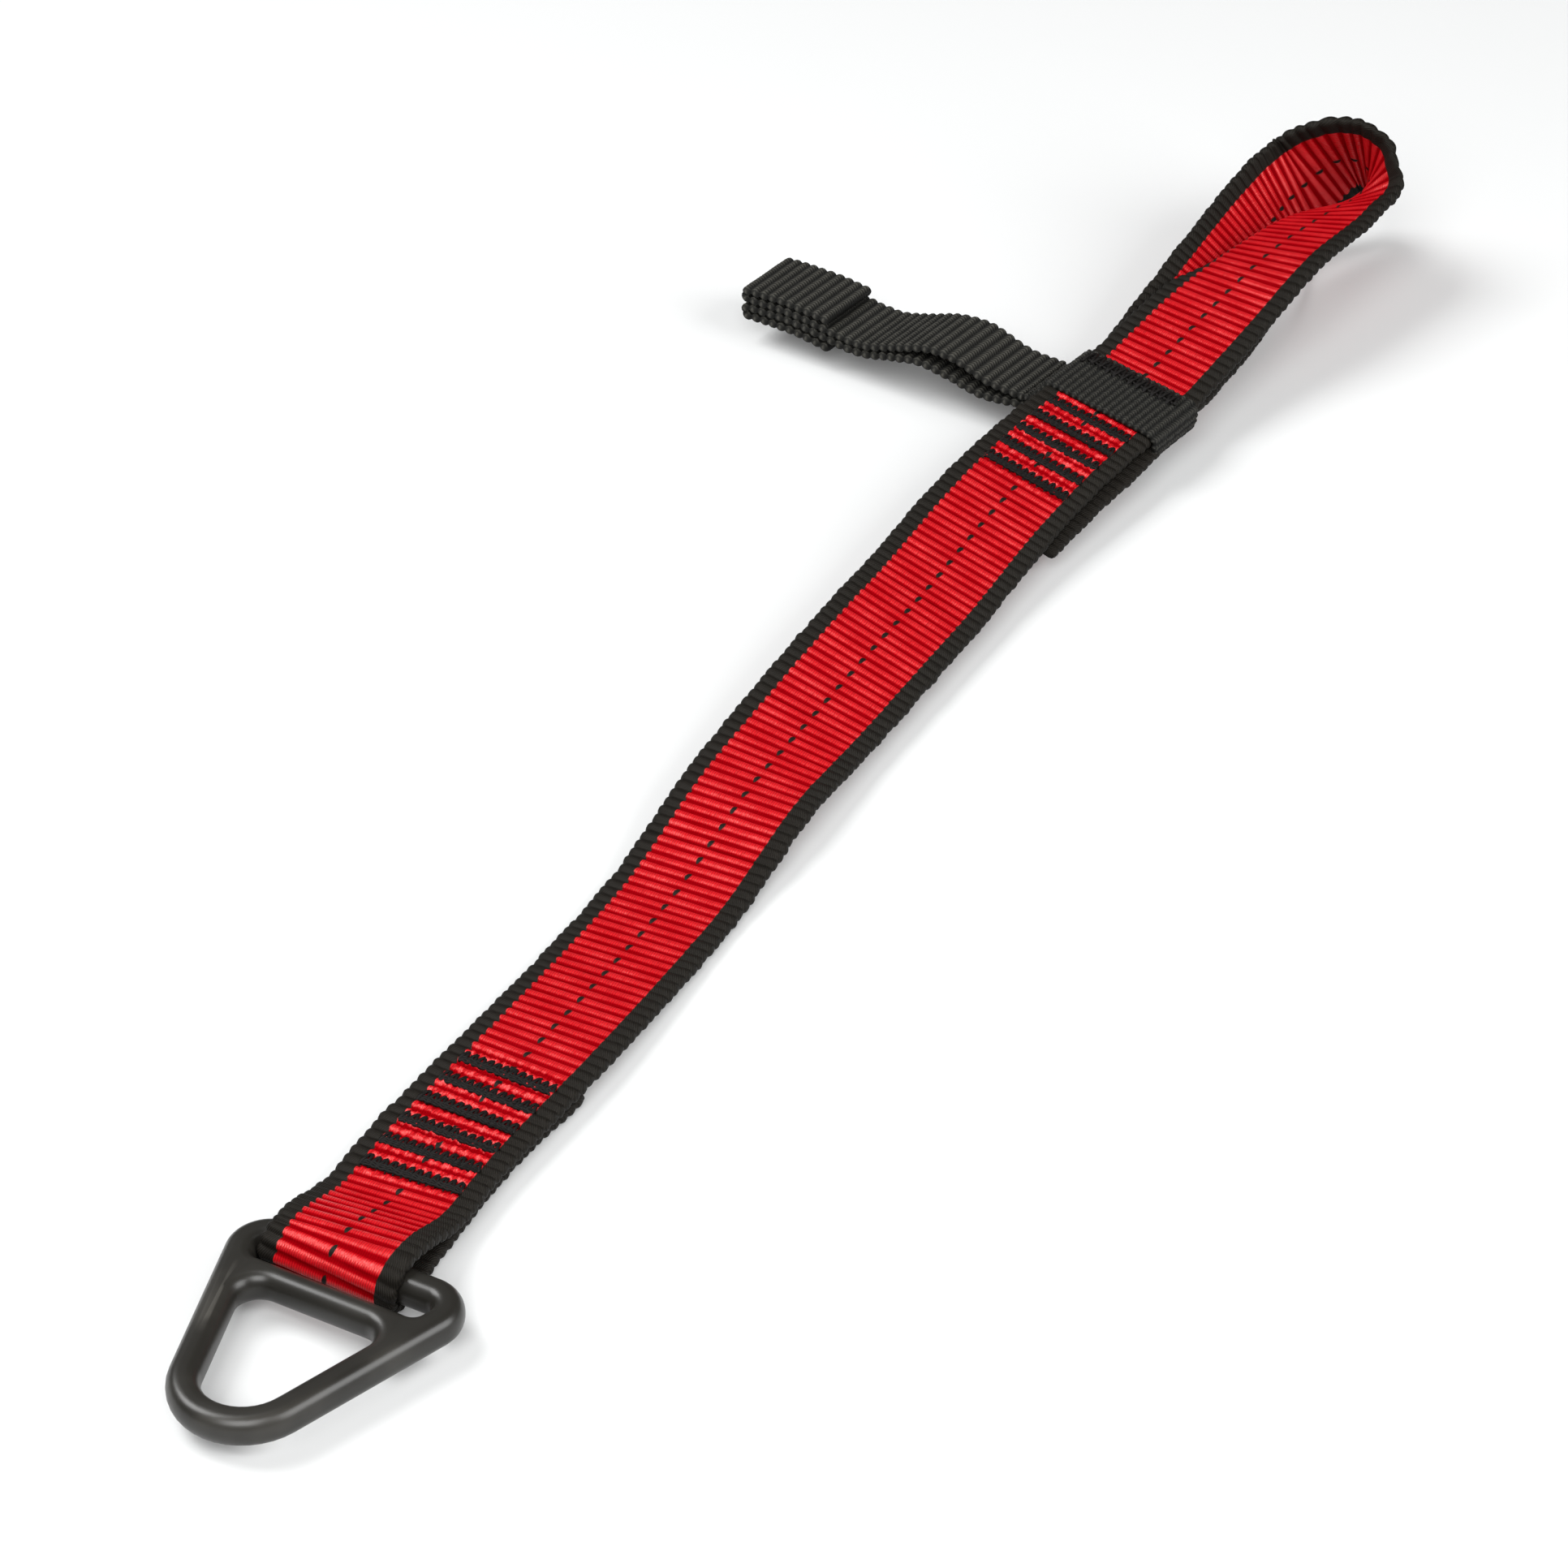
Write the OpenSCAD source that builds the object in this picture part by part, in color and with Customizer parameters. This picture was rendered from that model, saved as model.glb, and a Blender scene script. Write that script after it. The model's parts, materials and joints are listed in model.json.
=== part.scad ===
// Webbing tether: a triangular metal ring held in a sewn bight at one end, a sewn
// half-twist eye at the other, and a narrow keeper tape wrapped round the strap
// beside the eye. Millimetres.
// Frame: +X across the webbing, +Y along it from ring to eye, +Z up.
// Origin: the ring's connector seat, on the axis of the apex's arc and half way
// through the ring's thickness. Lengths along the strap are measured from the round
// bar, and heights from the resting plane.

/* [Webbing] */
// Width of the main webbing
webbing_w = 25; // [20:1:28]
// Thickness of the main webbing
webbing_t = 2.2; // [1.8:0.1:2.4]
// Distance along the strap from the ring's bar to the root of the eye
eye_y = 292; // [284:1:300]
// Length of webbing folded back and sewn at the ring end
ring_fold = 57; // [54:1:60]
// Length of webbing folded back and sewn at the eye end
eye_fold = 58; // [54:1:62]

/* [Ring] */
// Thickness of the ring, and diameter of its round bar
ring_t = 5.5; // [5:0.1:6]
// Width of the ring's side limbs
limb_w = 5.8; // [5:0.1:6.5]
// Lean of each side limb away from the strap's direction, in degrees
limb_lean = 18; // [16:0.5:20]
// Radius of the apex along the middle of the limb
apex_r = 9.6; // [8.5:0.1:11]
// Distance from the round bar to the centre of the apex
apex_y = 29.25; // [26:0.25:34]
// Open width of the slot that the webbing passes through
slot_w = 4.2; // [3.6:0.1:5]
// Radius on the ring's edges
edge_r = 1.8; // [1:0.1:2.2]

/* [Keeper] */
// Width of the keeper tape
tape_w = 15; // [10:1:16]
// Thickness of the keeper tape
tape_t = 1.6; // [1.2:0.1:1.8]
// Length of the tail beyond the webbing's edge
tail_l = 73; // [55:1:90]
// Length of the hem folded back at the end of the tail
hem_l = 20; // [12:1:26]

/* [Stitching] */
// Number of bar tacks is six at the ring and five at the eye; pitch between them
tack_pitch = 5.8; // [5:0.1:6]
// Length of a bar tack across the webbing
tack_l = 18; // [14:1:19]
// Width of a bar tack along the webbing
tack_w = 2.3; // [1.6:0.1:2.8]

/* [Hidden] */
$fn = 64;
layer_gap = 0.1;                          // air between two sewn layers
running_gap = 0.05;                       // radial play of a pin in its socket
nose_relief = 0.02;                       // keeps a nose just inside its layer's faces
overlap = 0.1;                            // length by which shapes of one piece run together
tack_proud = 0.4;                         // thread standing above the webbing
resting_z = 0.5;                          // underside of the lowest layer
bar_r = ring_t / 2 - 0.1;                 // round bar, a little thinner than the limbs
bight_r = bar_r + running_gap;            // inside of the bight round the bar
lower_z = resting_z + webbing_t / 2;      // middle of the layer under the ring end
bar_z = lower_z + bight_r + webbing_t / 2;
sewn_z = lower_z + webbing_t + layer_gap; // middle of the upper layer where sewn
layer_step = webbing_t + layer_gap;
eye_z = 11.4;                             // middle of the upper layer at the eye root
flex_y = [63, 103, 143, 183, 226];        // bends: first to last length of the strap
under_eye_y = eye_y - eye_fold;
ring_tack_y = 24;
eye_tack_y = 248;
keeper_y = eye_y - 10.5;                  // middle of the keeper tape along the strap
tape_gap = 0.05;
tail_x = -(webbing_w / 2 + 4.5);          // root of the keeper's tail

// ---- Rise and fall of the strap ------------------------------------------------

// Crests and troughs of the upper layer: distance along the strap, height
crests = [
    [0, bar_z + bight_r + webbing_t / 2],
    [20, sewn_z],
    [57, sewn_z],
    [106, 1.7],
    [146, 6.4],
    [200, 8.4],
    [262, eye_z],
    [eye_y, eye_z]
];

// Height at a distance along a list of crests and troughs, eased between them
function crest_after(list, y, i = 1) =
    (i >= len(list) - 1 || y <= list[i][0]) ? i : crest_after(list, y, i + 1);
function height_on(list, y) =
    let (i = crest_after(list, y), a = list[i - 1], b = list[i], t = (y - a[0]) / (b[0] - a[0]))
    a[1] + (b[1] - a[1]) * (1 - cos(180 * t)) / 2;
function strap_z(y) = height_on(crests, y);

// Edge outline of a layer between two places along the strap, lowered by drop
function layer_outline(y0, y1, drop = 0, steps = 12) = concat(
    [for (i = [0 : steps]) let (y = y0 + (y1 - y0) * i / steps)
        [y, strap_z(y) - drop - webbing_t / 2]],
    [for (i = [steps : -1 : 0]) let (y = y0 + (y1 - y0) * i / steps)
        [y, strap_z(y) - drop + webbing_t / 2]]
);

// Moves shapes from the spot on the resting plane below the round bar to the part's
// origin at the connector seat
module from_bar() {
    translate([0, apex_y, -bar_z]) children();
}

// Stands an edge outline up across the webbing
module across(width = webbing_w) {
    from_bar() rotate([90, 0, 90]) linear_extrude(height = width, center = true) children();
}

// Rounded nose that turns in the socket of the length before it
module nose(y, z, r) {
    translate([y, z]) circle(r = r - nose_relief);
}

// Space for a nose, with its mouth opened to let the next length swing
module socket(y, z, r) {
    reach = 3 * r;
    translate([y, z]) {
        circle(r = r + running_gap);
        polygon([[0, 0], [-reach, reach], [reach, reach], [reach, -reach], [-reach, -reach]]);
    }
}

// ---- Metal ring ----------------------------------------------------------------

// Section of a limb with its edges rounded off
module limb_section(w, t = ring_t, facets = 4) {
    polygon([for (c = [0 : 3], i = [0 : facets])
        let (a = 90 * c + 90 * i / facets,
             sx = (c == 0 || c == 3) ? 1 : -1, sy = (c < 2) ? 1 : -1)
        [sx * (w / 2 - edge_r) + edge_r * cos(a), sy * (t / 2 - edge_r) + edge_r * sin(a)]]);
}

module straight_limb(from, to, w, t = ring_t) {
    step = to - from;
    translate([from[0], from[1], 0])
        rotate([0, 0, atan2(step[1], step[0])])
            rotate([90, 0, 90])
                linear_extrude(height = norm(step)) limb_section(w, t);
}

module bent_limb(centre, r, start, sweep, w = limb_w, t = ring_t) {
    translate([centre[0], centre[1], 0])
        rotate([0, 0, start])
            rotate_extrude(angle = sweep) translate([r, 0]) limb_section(w, t);
}

module ring() {
    corner_r = 4.5;
    corner_y = -corner_r;
    corner_slack = 0.08;                  // a bend is this much slimmer, and runs into its
    run_in = 2;                           // straight limb by this many degrees
    corner_x = (apex_r - corner_r + (apex_y - corner_r) * sin(limb_lean)) / cos(limb_lean);
    apex = [0, -apex_y];
    side = [cos(limb_lean), -sin(limb_lean)];
    crossbar_w = 5.3;
    crossbar_t = ring_t - 0.2;
    crossbar_y = -(bar_r + slot_w + crossbar_w / 2);
    crossbar_x = (apex_r + (apex_y + crossbar_y) * sin(limb_lean)) / cos(limb_lean);
    color([0.17, 0.16, 0.15]) from_bar() translate([0, 0, bar_z]) {
        rotate([0, 90, 0]) cylinder(h = 2 * corner_x, r = bar_r, center = true);
        straight_limb([-crossbar_x, crossbar_y], [crossbar_x, crossbar_y], crossbar_w, crossbar_t);
        bent_limb(apex, apex_r, 180 + limb_lean, 180 - 2 * limb_lean);
        for (s = [-1, 1]) {
            flank = [s * side[0], side[1]];
            corner = [s * corner_x, corner_y];
            straight_limb(apex + apex_r * flank, corner + corner_r * flank, limb_w);
        }
        for (s = [-1, 1])
            bent_limb([s * corner_x, corner_y], corner_r, (s > 0) ? -limb_lean - run_in : 90,
                90 + limb_lean + run_in, limb_w - corner_slack, ring_t - corner_slack);
    }
}

// ---- Main webbing --------------------------------------------------------------

// Bight round the ring's bar, with the sewn layers beyond it
module ring_end_webbing() {
    bight_out = bight_r + webbing_t;
    color([0.75, 0.05, 0.08]) across() {
        difference() {
            polygon(layer_outline(0, flex_y[0], steps = 24));
            socket(flex_y[0], strap_z(flex_y[0]), webbing_t / 2);
        }
        translate([0, lower_z - webbing_t / 2]) square([ring_fold, webbing_t]);
        intersection() {
            translate([0, bar_z]) difference() {
                circle(r = bight_out);
                circle(r = bight_r);
            }
            translate([-bight_out, 0]) square([bight_out + overlap, 2 * bar_z]);
        }
    }
}

// One length of the strap between bend i and the next
module strap_length(i) {
    y0 = flex_y[i];
    y1 = flex_y[i + 1];
    half_t = webbing_t / 2;
    twist_i = 2;
    twist_gap = 0.15;
    from = (i == twist_i) ? y0 + twist_gap : y0;
    to = (i + 1 == twist_i) ? y1 - twist_gap : y1;
    color([0.75, 0.05, 0.08]) across() {
        if (i != twist_i) nose(y0, strap_z(y0), half_t);
        difference() {
            polygon(layer_outline(from, to));
            if (i + 1 != twist_i) socket(y1, strap_z(y1), half_t);
        }
    }
}

module eye_socket() {
    socket(eye_y, eye_z - layer_step / 2, layer_step / 2 + webbing_t / 2);
}

module eye_end_upper() {
    color([0.75, 0.05, 0.08]) across() {
        nose(flex_y[4], strap_z(flex_y[4]), webbing_t / 2);
        difference() {
            polygon(layer_outline(flex_y[4], eye_y, steps = 16));
            eye_socket();
        }
    }
}

module eye_end_under() {
    color([0.6, 0.04, 0.06]) across() difference() {
        polygon(layer_outline(under_eye_y, eye_y, layer_step, 16));
        eye_socket();
    }
}

// ---- Half-twist eye ------------------------------------------------------------

// Course of the eye from its root round the tip and back under itself:
// sideways, along and up from the root, then how far the outer edge leans up
eye_course = [
    [0, 0, 0, 0],
    [3.5, 24, 2.4, -2],
    [10, 44, 7.6, 10],
    [16, 64, 8.6, 26],
    [20.5, 78, 9.6, 48],
    [13, 84, 11.1, 60],
    [4, 77, 2.6, 58],
    [2, 56, -1.1, 46],
    [2.5, 29, -4.2, 14],
    [0, 0, -layer_step, 0]
];
eye_steps = 6;                            // slices between two places on the course

// Point on the smooth curve through a list of places, k counted in places
function pick(list, i) = list[max(0, min(len(list) - 1, i))];
function on_curve(list, k) =
    let (i = min(floor(k), len(list) - 2), t = k - i,
         p0 = pick(list, i - 1), p1 = pick(list, i), p2 = pick(list, i + 1), p3 = pick(list, i + 2))
    0.5 * (2 * p1 + (p2 - p0) * t + (2 * p0 - 5 * p1 + 4 * p2 - p3) * t * t
        + (3 * p1 - p0 - 3 * p2 + p3) * t * t * t);
function unit(v) = v / norm(v);

// Four corners of the webbing's cross-section at place k
function eye_slice(k) =
    let (last = len(eye_course) - 1,
         here = on_curve(eye_course, k),
         step = on_curve(eye_course, min(k + 0.05, last)) - on_curve(eye_course, max(k - 0.05, 0)),
         along = (k == 0) ? [0, 1, 0] : (k == last) ? [0, -1, 0]
             : unit([step[0], step[1], step[2]]),
         outward = unit(cross(along, [0, 0, 1])),
         over = cross(outward, along),
         rib = cos(here[3]) * outward + sin(here[3]) * over,
         face = cross(rib, along),
         centre = [here[0], eye_y + here[1], eye_z + here[2]],
         a = rib * webbing_w / 2, n = face * webbing_t / 2)
    [centre - a - n, centre + a - n, centre + a + n, centre - a + n];

module eye_loop() {
    count = (len(eye_course) - 1) * eye_steps;
    points = [for (s = [0 : count]) each eye_slice(s / eye_steps)];
    end = 4 * count;
    walls = [for (s = [0 : count - 1], c = [0 : 3])
        let (d = (c + 1) % 4, p = 4 * s)
        each [[p + c, p + 4 + d, p + 4 + c], [p + c, p + d, p + 4 + d]]];
    color([0.75, 0.05, 0.08]) {
        from_bar() polyhedron(points, concat([[3, 2, 1, 0]], walls,
            [[end, end + 1, end + 2, end + 3]]));
        across() nose(eye_y, eye_z - layer_step / 2, layer_step / 2 + webbing_t / 2);
    }
}

// ---- Bar tacks -----------------------------------------------------------------

// Zigzag of thread through a stack of layers, from height low to height high
module tack(y, low, high) {
    stitches = 12;
    pitch = tack_l / stitches;
    thread = 0.8;
    path = [for (i = [0 : stitches])
        [-tack_l / 2 + i * pitch, (i % 2 == 0 ? -1 : 1) * (tack_w - thread) / 2]];
    color([0.08, 0.08, 0.08]) from_bar() translate([0, y, low - tack_proud])
        linear_extrude(height = high - low + 2 * tack_proud)
            polygon(concat(
                [for (i = [0 : stitches]) path[i] - [0, thread / 2]],
                [for (i = [stitches : -1 : 0]) path[i] + [0, thread / 2]]
            ));
}

module ring_tack(i) {
    y = ring_tack_y + (i - 1) * tack_pitch;
    tack(y, resting_z, sewn_z + webbing_t / 2);
}

module eye_tack(i) {
    y = eye_tack_y + (i - 1) * tack_pitch;
    tack(y, strap_z(y) - layer_step - webbing_t / 2, strap_z(y) + webbing_t / 2);
}

// ---- Keeper tape ---------------------------------------------------------------

keeper_mid_z = eye_z - layer_step / 2;
keeper_in = layer_step / 2 + webbing_t / 2 + tape_gap; // half the height inside the wrap
tail_half = tape_t + tape_gap / 2;                     // half the height of the tail's two layers
// Wave of the tail: distance from its root, rise above it
tail_crests = [[0, 0], [13, 3], [34, -0.8], [50, 1], [90, 1]];
hem_gap = 0.3;                                         // air inside the folded hem
tail_end_x = -(webbing_w / 2 + tail_l - tape_t - hem_gap / 2);

// Stands an outline drawn in X and Z up along the strap
module along_strap() {
    from_bar() translate([0, keeper_y, 0]) rotate([90, 0, 0])
        linear_extrude(height = tape_w, center = true) children();
}

module keeper_wrap() {
    edge_x = webbing_w / 2 + tape_gap;
    side_x = edge_x + tape_t;
    out = keeper_in + tape_t;
    slit = tape_gap / 2;
    color([0.1, 0.1, 0.1]) along_strap() translate([0, keeper_mid_z]) difference() {
        polygon([
            [tail_x, -tail_half], [-edge_x, -out], [side_x, -out], [side_x, out],
            [-edge_x, out], [tail_x, tail_half], [tail_x, slit], [-edge_x, keeper_in],
            [edge_x, keeper_in], [edge_x, -keeper_in], [-edge_x, -keeper_in], [tail_x, -slit]
        ]);
        translate([tail_x, 0]) mirror([1, 0]) socket(0, 0, tail_half);
    }
}

function tail_rise(x) = height_on(tail_crests, tail_x - x);

// One of the tail's two tapes: side is 1 above and -1 below
module tail_tape(side) {
    near = tape_gap / 2;
    far = near + tape_t;
    bend_z = far + hem_gap / 2;
    along_strap() translate([0, keeper_mid_z]) {
        tape_run(tail_end_x, tail_x, side, near);
        tape_run(tail_end_x, tail_end_x + hem_l, side, far + hem_gap);
        translate([tail_end_x, side * bend_z + tail_rise(tail_end_x)]) intersection() {
            difference() {
                circle(r = tape_t + hem_gap / 2);
                circle(r = hem_gap / 2);
            }
            translate([-2 * tape_t, -2 * tape_t]) square([2 * tape_t + overlap, 4 * tape_t]);
        }
        intersection() {
            translate([tail_x, 0]) circle(r = tail_half - nose_relief);
            translate([tail_x - overlap, side > 0 ? near : -tail_half])
                square([tail_half + overlap, tail_half - near]);
        }
    }
}

// Tape between two places along the tail, its inner face at height near above
// (side 1) or below (side -1) the tail's middle
module tape_run(x0, x1, side, near, steps = 16) {
    xs = [for (i = [0 : steps]) x0 + (x1 - x0) * i / steps];
    low = (side > 0) ? near : -near - tape_t;
    polygon(concat(
        [for (i = [0 : steps]) [xs[i], tail_rise(xs[i]) + low]],
        [for (i = [steps : -1 : 0]) [xs[i], tail_rise(xs[i]) + low + tape_t]]));
}

module keeper_tail_upper() {
    color([0.1, 0.1, 0.1]) tail_tape(1);
}

module keeper_tail_lower() {
    color([0.12, 0.12, 0.12]) tail_tape(-1);
}

module keeper_tack() {
    tack(keeper_y + 3.5, keeper_mid_z - keeper_in - tape_t, keeper_mid_z + keeper_in + tape_t);
}

ring();
ring_end_webbing();
ring_tack(1);  // ring_tack_1
ring_tack(2);  // ring_tack_2
ring_tack(3);  // ring_tack_3
ring_tack(4);  // ring_tack_4
ring_tack(5);  // ring_tack_5
ring_tack(6);  // ring_tack_6
strap_length(0);  // strap_length_1
strap_length(1);  // strap_length_2
strap_length(2);  // strap_length_3
strap_length(3);  // strap_length_4
eye_end_upper();
eye_end_under();
eye_tack(1);  // eye_tack_1
eye_tack(2);  // eye_tack_2
eye_tack(3);  // eye_tack_3
eye_tack(4);  // eye_tack_4
eye_tack(5);  // eye_tack_5
eye_loop();
keeper_wrap();
keeper_tack();
keeper_tail_upper();
keeper_tail_lower();
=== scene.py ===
import json
import math

import bpy
import numpy as np
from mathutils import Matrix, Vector
from mathutils.geometry import tessellate_polygon


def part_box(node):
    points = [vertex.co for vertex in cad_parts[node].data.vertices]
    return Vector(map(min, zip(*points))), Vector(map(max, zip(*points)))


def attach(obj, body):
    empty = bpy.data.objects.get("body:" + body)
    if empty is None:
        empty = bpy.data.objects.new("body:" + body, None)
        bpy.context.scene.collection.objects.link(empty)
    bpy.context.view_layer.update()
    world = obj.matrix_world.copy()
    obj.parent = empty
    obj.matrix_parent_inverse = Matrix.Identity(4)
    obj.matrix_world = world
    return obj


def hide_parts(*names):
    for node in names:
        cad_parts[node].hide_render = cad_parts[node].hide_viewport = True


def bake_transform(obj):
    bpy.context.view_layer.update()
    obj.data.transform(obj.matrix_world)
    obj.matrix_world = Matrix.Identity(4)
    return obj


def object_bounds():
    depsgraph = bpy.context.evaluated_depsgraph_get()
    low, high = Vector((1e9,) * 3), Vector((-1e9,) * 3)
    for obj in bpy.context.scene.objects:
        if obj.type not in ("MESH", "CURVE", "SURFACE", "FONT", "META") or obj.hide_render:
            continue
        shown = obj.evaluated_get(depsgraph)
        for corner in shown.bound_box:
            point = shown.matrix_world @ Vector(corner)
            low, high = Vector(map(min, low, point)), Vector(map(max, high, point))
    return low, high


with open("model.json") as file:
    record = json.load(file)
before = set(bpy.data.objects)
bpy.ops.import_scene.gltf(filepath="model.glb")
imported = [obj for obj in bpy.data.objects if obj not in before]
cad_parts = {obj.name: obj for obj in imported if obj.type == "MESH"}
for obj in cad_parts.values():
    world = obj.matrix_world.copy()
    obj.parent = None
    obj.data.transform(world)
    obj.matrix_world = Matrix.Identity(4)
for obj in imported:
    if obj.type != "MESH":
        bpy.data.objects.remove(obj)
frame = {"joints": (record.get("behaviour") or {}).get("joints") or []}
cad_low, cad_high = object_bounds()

# Webbing tether: a triangular metal ring in a sewn bight, a ribbed red strap with black
# selvedges, a sewn half-twist eye and a black keeper tape wrapped round the strap.
# Shapes are worked out in millimetres: x across the strap, y along it from the ring's
# round bar, z above the resting plane. place() moves them into the row frame in metres.

MM = 0.001
JOINTS = {j["name"]: j for j in frame["joints"]}
BAR = Vector(JOINTS["ring_pivot"]["pos_m"])
TABLE = cad_low.z


def place(points):
    """Millimetres of the strap's own frame to metres of the row frame."""
    return np.asarray(points, float) * MM + np.array([0.0, BAR.y, TABLE])


def strap_mm(point):
    """A point of the row frame in millimetres of the strap's own frame."""
    return (np.asarray(point, float) - np.array([0.0, BAR.y, TABLE])) / MM


def joint_mm(name):
    return strap_mm(JOINTS[name]["pos_m"])


def node_mm(node):
    low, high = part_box(node)
    return strap_mm(low), strap_mm(high)


# ---- Sizes -------------------------------------------------------------------------

# Main webbing
WEB_HALF = 12.3          # half its width
WEB_THICK = 2.2
RIB = 2.2                # pitch of its ribs
RIB_DEPTH = 0.40
SELVEDGE = 3.4           # width of each black selvedge
EDGE_ROUND = 1.0
LAYER_STEP = 2.35        # between the middles of two sewn layers
RING_FOLD = 57.0         # webbing folded back at the ring
RING_FOLD_Z = 1.65       # height of the middle of that fold, which lies on the table
EYE_FOLD = 58.0          # webbing folded back at the eye
EYE_Y = joint_mm("eye_bend")[1]

# Rise and fall of the upper layer: distance from the bar, height of its middle
HEIGHTS = [(0, 9.3), (20, 4.0), (57, 4.0), (106, 1.8), (146, 6.5), (200, 8.5), (262, 11.5),
           (292, 11.5)]
# Drift of the strap: distance from the bar, how far its middle lies to the right
SWAY = [(0, -0.9), (30, -2.7), (66, -1.7), (100, -2.6), (150, -3.6), (200, -2.9), (235, -2.7),
        (262, -0.7), (292, 3.2)]
# Lean of the strap: distance from the bar, how far its right edge leans down in degrees
ROLL = [(0, 0), (60, 1), (110, 1), (140, 4), (170, 16), (235, 17), (262, 12), (282, 9), (292, 9)]

# Layer folded back at the eye: distance from the bar, how far right of the upper layer
EYE_FOLD_SHIFT = [(236, 1.7), (262, 2.3), (274, 1.8), (EYE_Y, -0.6)]

# Course of the eye from its root round the tip and back beneath itself: how far right of
# the bar's middle, how far along and up from the upper layer's end, and how far the rib
# leans up in degrees
EYE_COURSE = [
    (3.2, 0, 0, -9),
    (6.3, 22.5, 3.5, -3),
    (10.5, 43.8, 7.2, 11),
    (14.8, 65.5, 7, 23),
    (17.0, 75.5, 6.6, 43),
    (17.2, 80.6, 7.9, 76),
    (14.2, 84.5, 9.6, 110),
    (8.6, 85.3, 9.4, 117),
    (4.8, 83.5, 6.9, 97),
    (2.0, 80.3, 3.8, 76),
    (0.4, 75.1, 1.9, 65),
    (0.4, 65.5, 0.7, 53),
    (1.2, 47.5, -0.6, 40),
    (2, 31, -1.4, 29),
    (2.2, 15, -2.1, 17),
    (2.6, 0, -LAYER_STEP, 9),
]

# Where along the eye its left selvedge curls down: the curl grows from the first distance
# to the second and fades from the third to the fourth
CURL_SPAN = (24, 42, 74, 88)
# Where the eye bends, from its root
EYE_BEND = (-2, 18)

# Bar tacks: zigzag stitches over threads laid across the strap
TACK_HALF_LENGTH = 9.0
TACK_HALF_WIDTH = 1.65
TACK_STITCHES = 12
TACK_LAID = (-1.35, -0.9, -0.45)     # laid threads, from the tack's middle
TACK_SUNK = 0.36         # how far a tack pulls the upper face in
THREAD = 0.28            # radius of the thread

# Keeper tape
TAPE_HALF = 7.8          # half its width
TAPE_GAP = 0.12          # between the tail's two tapes, and from the strap to the wrap
HEM = 19.5               # length folded back at the far end
TAIL_LENGTH = 65.6       # from the root to the fold at the far end
KEEPER_SWING = joint_mm("keeper_swing")
TAIL_BEND = 10.0         # length over which the tail bends
# Wave of the tail: distance left of its root, height of the middle of its two tapes
TAIL_WAVE = [(0, 8.9), (8, 9.3), (17, 11.9), (23, 11.8), (31, 9.4), (38, 7.5), (45, 7.9),
             (53, 8.9), (68, 8.8)]
# The tape hangs loose in the tail and is drawn tight round the strap. Each state has its
# thickness, rib pitch, samples to a rib, depth of the ribs, scallop of the edges, and the
# wander of the ribs as waves: (size as a share of the pitch, radians to a millimetre
# across, radians to a rib)
LOOSE = {"thick": 1.7, "rib": 2.1, "samples": 8, "depth": 0.34, "scallop": 0.42,
         "wander": [(0.05, 0.8, 0.9)]}
TIGHT = {"thick": 1.35, "rib": 1.45, "samples": 6, "depth": 0.26, "scallop": 0.2,
         "wander": [(0.2, 2.3, 1.7), (0.12, 4.1, -0.9)]}

# Samples along the main webbing
SAMPLES_PER_RIB = 10
STEP = RIB / SAMPLES_PER_RIB

random_draws = np.random.default_rng(11)


# ---- Curves ------------------------------------------------------------------------

def eased(knots, t):
    """Value at t on a list of crests and troughs, level at each of them."""
    where, value = np.array(knots, float).T
    i = np.clip(np.searchsorted(where, t) - 1, 0, len(where) - 2)
    f = np.clip((t - where[i]) / (where[i + 1] - where[i]), 0, 1)
    return value[i] + (value[i + 1] - value[i]) * (1 - np.cos(np.pi * f)) / 2


def flowing(where, values, t):
    """Values at t on a smooth curve through the rows of values."""
    where = np.asarray(where, float)
    values = np.asarray(values, float)
    slope = np.gradient(values, where, axis=0)
    i = np.clip(np.searchsorted(where, t) - 1, 0, len(where) - 2)
    gap = where[i + 1] - where[i]
    f = np.clip((t - where[i]) / gap, 0, 1)
    if values.ndim > 1:
        f, gap = f[:, None], gap[:, None]
    return ((2 * f**3 - 3 * f**2 + 1) * values[i] + (f**3 - 2 * f**2 + f) * gap * slope[i]
            + (3 * f**2 - 2 * f**3) * values[i + 1] + (f**3 - f**2) * gap * slope[i + 1])


def flow(knots, t):
    """Value at t on a smooth curve through a list of (place, value)."""
    rows = np.array(knots, float)
    return flowing(rows[:, 0], rows[:, 1], t)


def unit(v):
    return v / np.linalg.norm(v, axis=-1, keepdims=True)


def smoothstep(low, high, x):
    """0 at low and 1 at high, which may be the smaller of the two."""
    t = np.clip((x - low) / (high - low), 0, 1)
    return t * t * (3 - 2 * t)


def leaning_ribs(points, lean):
    """Rib directions of a band along points, leaning up by lean degrees from level."""
    along = unit(np.gradient(points, axis=0))
    outward = unit(np.cross(along, [0, 0, 1]))
    over = np.cross(outward, along)
    a = np.radians(lean)[:, None]
    return np.cos(a) * outward + np.sin(a) * over


def distance_along(points):
    """Distance of each point from the first, measured along the line through them."""
    return np.concatenate([[0], np.cumsum(np.linalg.norm(np.diff(points, axis=0), axis=1))])


def blurred(values, sigma):
    """Values smoothed along their length, with their ends carried straight on."""
    reach = int(3 * sigma)
    kernel = np.exp(-0.5 * (np.arange(-reach, reach + 1) / sigma) ** 2)
    kernel /= kernel.sum()
    head = 2 * values[:1] - values[1:reach + 1][::-1]
    tail = 2 * values[-1:] - values[-reach - 1:-1][::-1]
    padded = np.concatenate([head, values, tail])
    return np.stack([np.convolve(padded[:, k], kernel, "valid") for k in range(values.shape[1])], 1)


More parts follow.
